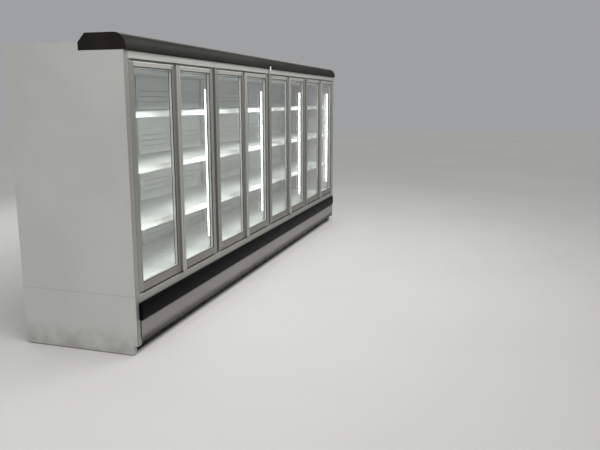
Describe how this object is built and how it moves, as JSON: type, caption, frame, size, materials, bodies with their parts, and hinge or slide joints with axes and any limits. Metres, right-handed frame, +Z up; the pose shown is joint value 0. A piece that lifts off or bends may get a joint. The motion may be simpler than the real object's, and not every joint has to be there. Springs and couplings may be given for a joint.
{
  "type": "refrigerated display cabinet run",
  "caption": "Upright refrigerated shop cabinets joined in a run, with hinged glass doors, lit mullions, shelves, a curved canopy, a black bumper and levelling feet.",
  "frame": {"origin": "on the floor, at the middle of the run's length and depth", "axes": "+X along the run to the right of someone facing the doors, +Y to the rear, +Z up"},
  "size_m": [5.06, 0.88, 2.027],
  "materials": {
    "anodised_silver": "satin anodised extrusion",
    "canopy_grey": "satin dark grey paint",
    "bumper_black": "gloss black profile",
    "front_panel_grey": "satin silver grey paint",
    "cabinet_white": "white powder coat",
    "outer_panel_grey": "light grey coated steel",
    "ticket_strip": "white extrusion",
    "light_cover": "frosted cover",
    "dark_steel": "black paint",
    "zinc_steel": "zinc plated",
    "door_glass": "clear double glazing"
  },
  "bodies": {
    "cabinet": {"air_intake_grilles": "cabinet_white", "base_rails": "dark_steel", "base_tubs": "cabinet_white", "bumper_bands": "bumper_black", "canopies": "canopy_grey", "deck_trays": "cabinet_white", "discharge_grilles": "cabinet_white", "door_frame_heads": "cabinet_white", "door_frame_sills": "cabinet_white", "end_jambs": "anodised_silver", "end_trims": "anodised_silver", "header_rails": "anodised_silver", "hinge_plates": "zinc_steel", "inner_back_panels": "cabinet_white", "inner_ceilings": "cabinet_white", "joint_cover": "anodised_silver", "kick_plates": "dark_steel", "left_end_panel": "outer_panel_grey", "levelling_feet": "zinc_steel", "lower_front_panels": "front_panel_grey", "lower_shelves": "cabinet_white", "middle_shelves": "cabinet_white", "mullion_lights": "light_cover", "mullions": "anodised_silver", "rear_walls": "outer_panel_grey", "right_end_panel": "outer_panel_grey", "roof_panels": "outer_panel_grey", "shelf_brackets": "cabinet_white", "shelf_uprights": "cabinet_white", "sill_rails": "anodised_silver", "ticket_rails": "ticket_strip", "upper_shelves": "cabinet_white"},
    "door_1": {"door_1_frame": "anodised_silver", "door_1_glass": "door_glass"},
    "door_2": {"door_2_frame": "anodised_silver", "door_2_glass": "door_glass"},
    "door_3": {"door_3_frame": "anodised_silver", "door_3_glass": "door_glass"},
    "door_4": {"door_4_frame": "anodised_silver", "door_4_glass": "door_glass"},
    "door_5": {"door_5_frame": "anodised_silver", "door_5_glass": "door_glass"},
    "door_6": {"door_6_frame": "anodised_silver", "door_6_glass": "door_glass"},
    "door_7": {"door_7_frame": "anodised_silver", "door_7_glass": "door_glass"},
    "door_8": {"door_8_frame": "anodised_silver", "door_8_glass": "door_glass"}
  },
  "joints": [
    {"name": "door_1_hinge", "type": "hinge", "parent": "cabinet", "child": "door_1", "pos_m": [-2.459, -0.399, 0], "axis": [0, 0, 1], "range_deg": [-90, 0], "stiffness_Nm_per_rad": 2, "springref_deg": 68.75},
    {"name": "door_2_hinge", "type": "hinge", "parent": "cabinet", "child": "door_2", "pos_m": [-1.291, -0.399, 0], "axis": [0, 0, 1], "range_deg": [0, 90], "stiffness_Nm_per_rad": 2, "springref_deg": -68.75},
    {"name": "door_3_hinge", "type": "hinge", "parent": "cabinet", "child": "door_3", "pos_m": [-1.209, -0.399, 0], "axis": [0, 0, 1], "range_deg": [-90, 0], "stiffness_Nm_per_rad": 2, "springref_deg": 68.75},
    {"name": "door_4_hinge", "type": "hinge", "parent": "cabinet", "child": "door_4", "pos_m": [-0.041, -0.399, 0], "axis": [0, 0, 1], "range_deg": [0, 90], "stiffness_Nm_per_rad": 2, "springref_deg": -68.75},
    {"name": "door_5_hinge", "type": "hinge", "parent": "cabinet", "child": "door_5", "pos_m": [0.041, -0.399, 0], "axis": [0, 0, 1], "range_deg": [-90, 0], "stiffness_Nm_per_rad": 2, "springref_deg": 68.75},
    {"name": "door_6_hinge", "type": "hinge", "parent": "cabinet", "child": "door_6", "pos_m": [1.209, -0.399, 0], "axis": [0, 0, 1], "range_deg": [0, 90], "stiffness_Nm_per_rad": 2, "springref_deg": -68.75},
    {"name": "door_7_hinge", "type": "hinge", "parent": "cabinet", "child": "door_7", "pos_m": [1.291, -0.399, 0], "axis": [0, 0, 1], "range_deg": [-90, 0], "stiffness_Nm_per_rad": 2, "springref_deg": 68.75},
    {"name": "door_8_hinge", "type": "hinge", "parent": "cabinet", "child": "door_8", "pos_m": [2.459, -0.399, 0], "axis": [0, 0, 1], "range_deg": [0, 90], "stiffness_Nm_per_rad": 2, "springref_deg": -68.75}
  ]
}
